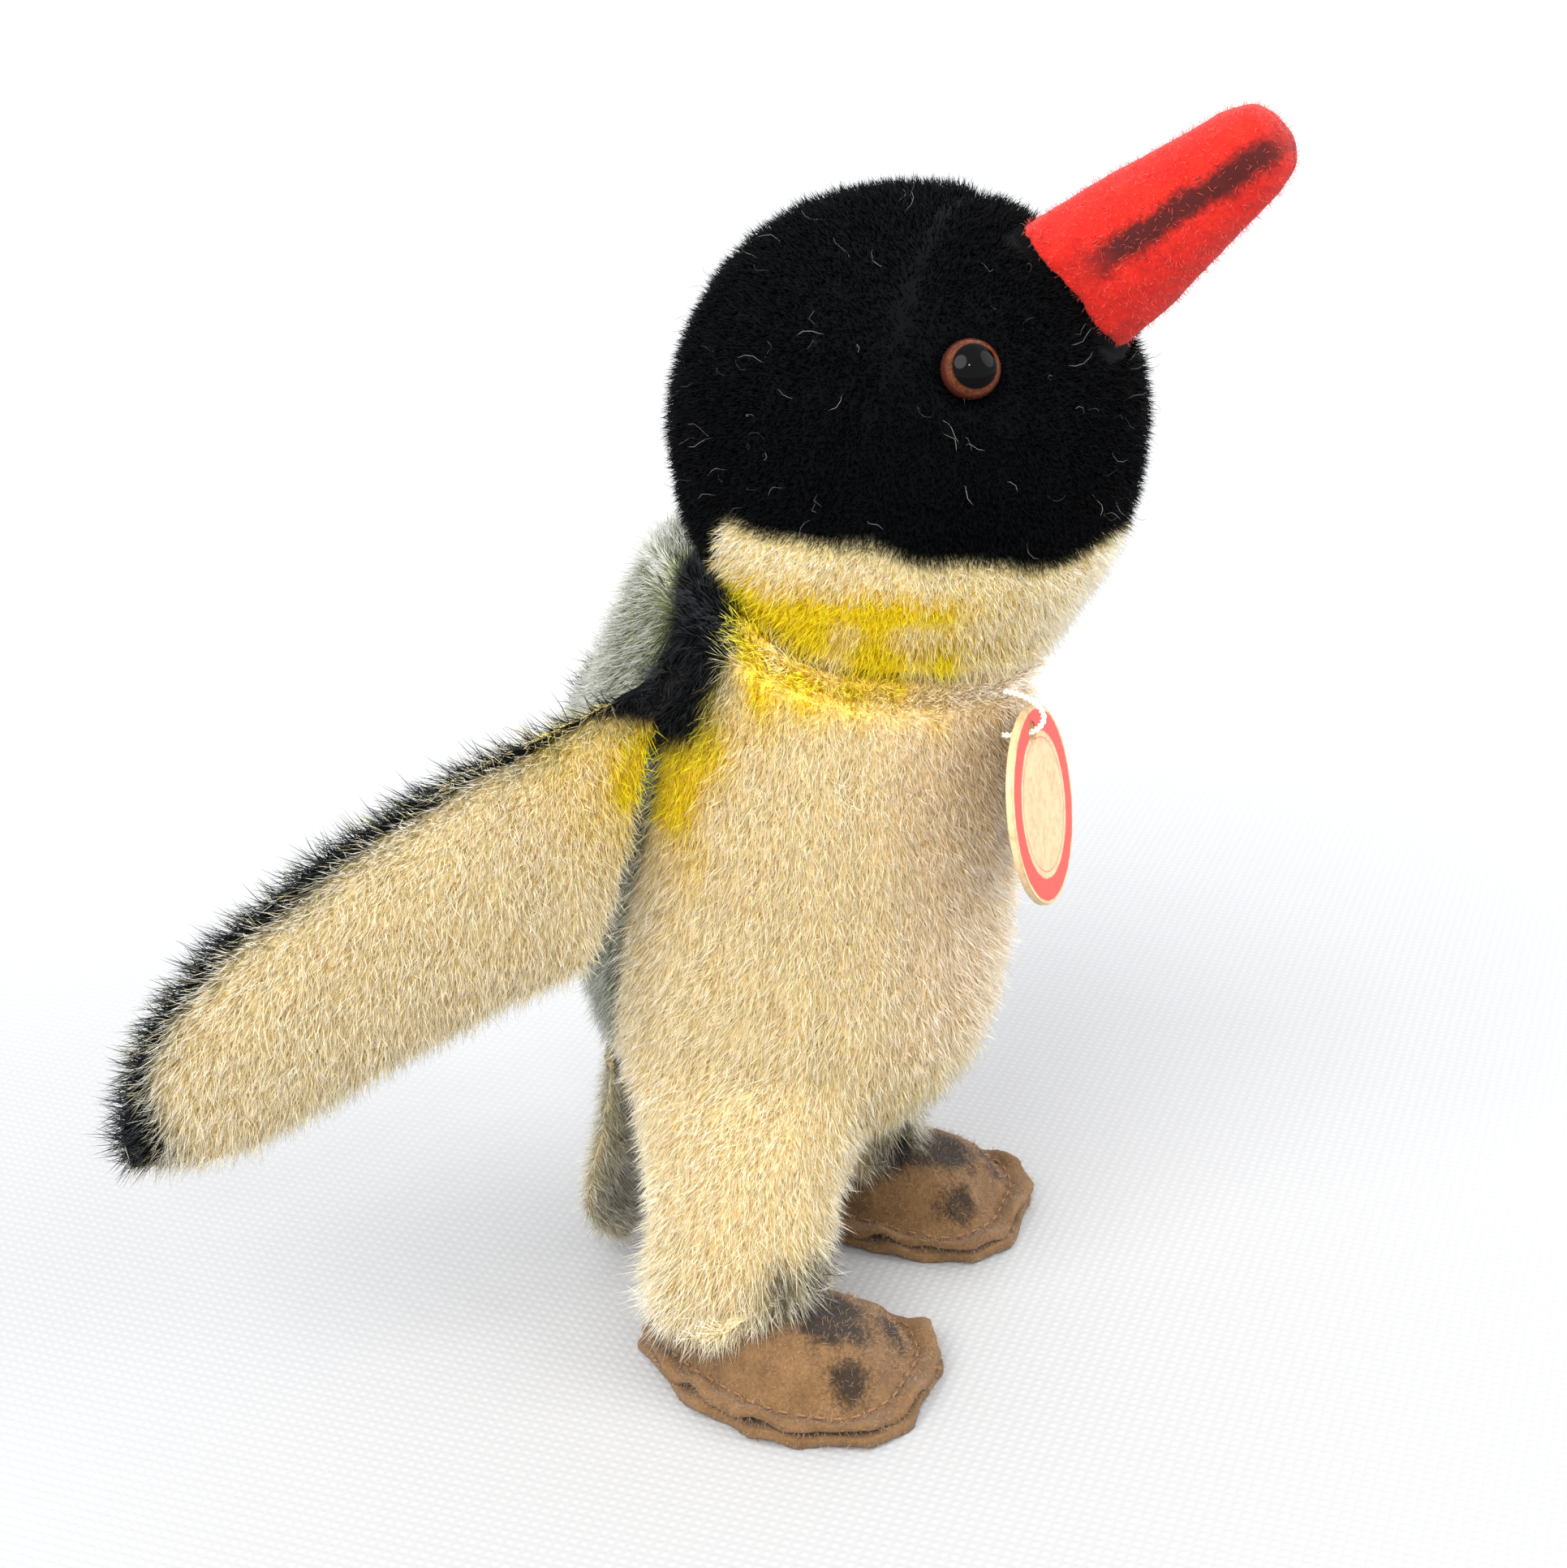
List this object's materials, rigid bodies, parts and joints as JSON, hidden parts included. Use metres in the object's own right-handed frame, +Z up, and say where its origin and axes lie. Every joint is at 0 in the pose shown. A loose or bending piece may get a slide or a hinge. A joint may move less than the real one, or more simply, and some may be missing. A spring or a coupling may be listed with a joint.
{
  "type": "plush penguin",
  "caption": "Small standing mohair plush penguin with a turning disc-jointed head, soft swept-back wings, felt beak and feet, glass eyes and a round chest tag.",
  "frame": {"origin": "on the floor under the middle of the whole penguin", "axes": "+Z up; the penguin faces -Y and its right side is on -X"},
  "size_m": [0.1134, 0.1066, 0.1397],
  "materials": {
    "mohair_cream": "matte",
    "mohair_grey": "matte",
    "mohair_black": "matte",
    "felt_tan": "matte",
    "felt_red": "matte",
    "stuffing": "matte",
    "card": "matte",
    "fibreboard": "matte",
    "steel": "satin",
    "eye_glass": "polished",
    "tag_paper": "satin",
    "cotton_thread": "matte"
  },
  "bodies": {
    "body": {"side_panel_right": "mohair_cream", "side_panel_left": "mohair_cream", "back_panel": "mohair_grey", "belly_panel": "mohair_cream", "body_stuffing": "stuffing", "tail_outer": "mohair_grey", "tail_inner": "mohair_grey", "foot_sole_right": "felt_tan", "foot_sole_left": "felt_tan", "foot_upper_right": "felt_tan", "foot_upper_left": "felt_tan", "foot_insole_right": "card", "foot_insole_left": "card", "foot_stuffing_right": "stuffing", "foot_stuffing_left": "stuffing", "body_joint_disc": "fibreboard", "body_joint_washer": "steel", "neck_cotter_pin": "steel", "tag_thread": "cotton_thread"},
    "head": {"head_panel_right": "mohair_black", "head_panel_left": "mohair_black", "head_stuffing": "stuffing", "head_joint_disc": "fibreboard", "head_joint_washer": "steel", "beak_half_right": "felt_red", "beak_half_left": "felt_red", "beak_stuffing": "stuffing", "eye_glass_right": "eye_glass", "eye_glass_left": "eye_glass", "eye_shank_right": "steel", "eye_shank_left": "steel"},
    "wing_right": {"wing_outer_right": "mohair_grey", "wing_inner_right": "mohair_cream", "wing_stuffing_right": "stuffing"},
    "wing_left": {"wing_outer_left": "mohair_grey", "wing_inner_left": "mohair_cream", "wing_stuffing_left": "stuffing"},
    "tag": {"tag_card": "tag_paper"}
  },
  "joints": [
    {"name": "head_swivel", "type": "hinge", "parent": "body", "child": "head", "pos_m": [0, -0.0127, 0.0837], "axis": [0, -0.0958, 0.9954], "continuous": true},
    {"name": "wing_right_swing", "type": "hinge", "parent": "body", "child": "wing_right", "pos_m": [-0.02116, 0.0066, 0.068], "axis": [0, -0.2419, 0.9703], "range_deg": [-20, 35], "stiffness_Nm_per_rad": 0.02},
    {"name": "wing_left_swing", "type": "hinge", "parent": "body", "child": "wing_left", "pos_m": [0.02116, 0.0066, 0.068], "axis": [0, 0.2419, -0.9703], "range_deg": [-20, 35], "stiffness_Nm_per_rad": 0.02},
    {"name": "tag_swing", "type": "hinge", "parent": "body", "child": "tag", "pos_m": [-0.0085, -0.03107, 0.07625], "axis": [-1, 0, 0], "range_deg": [0, 60]}
  ]
}
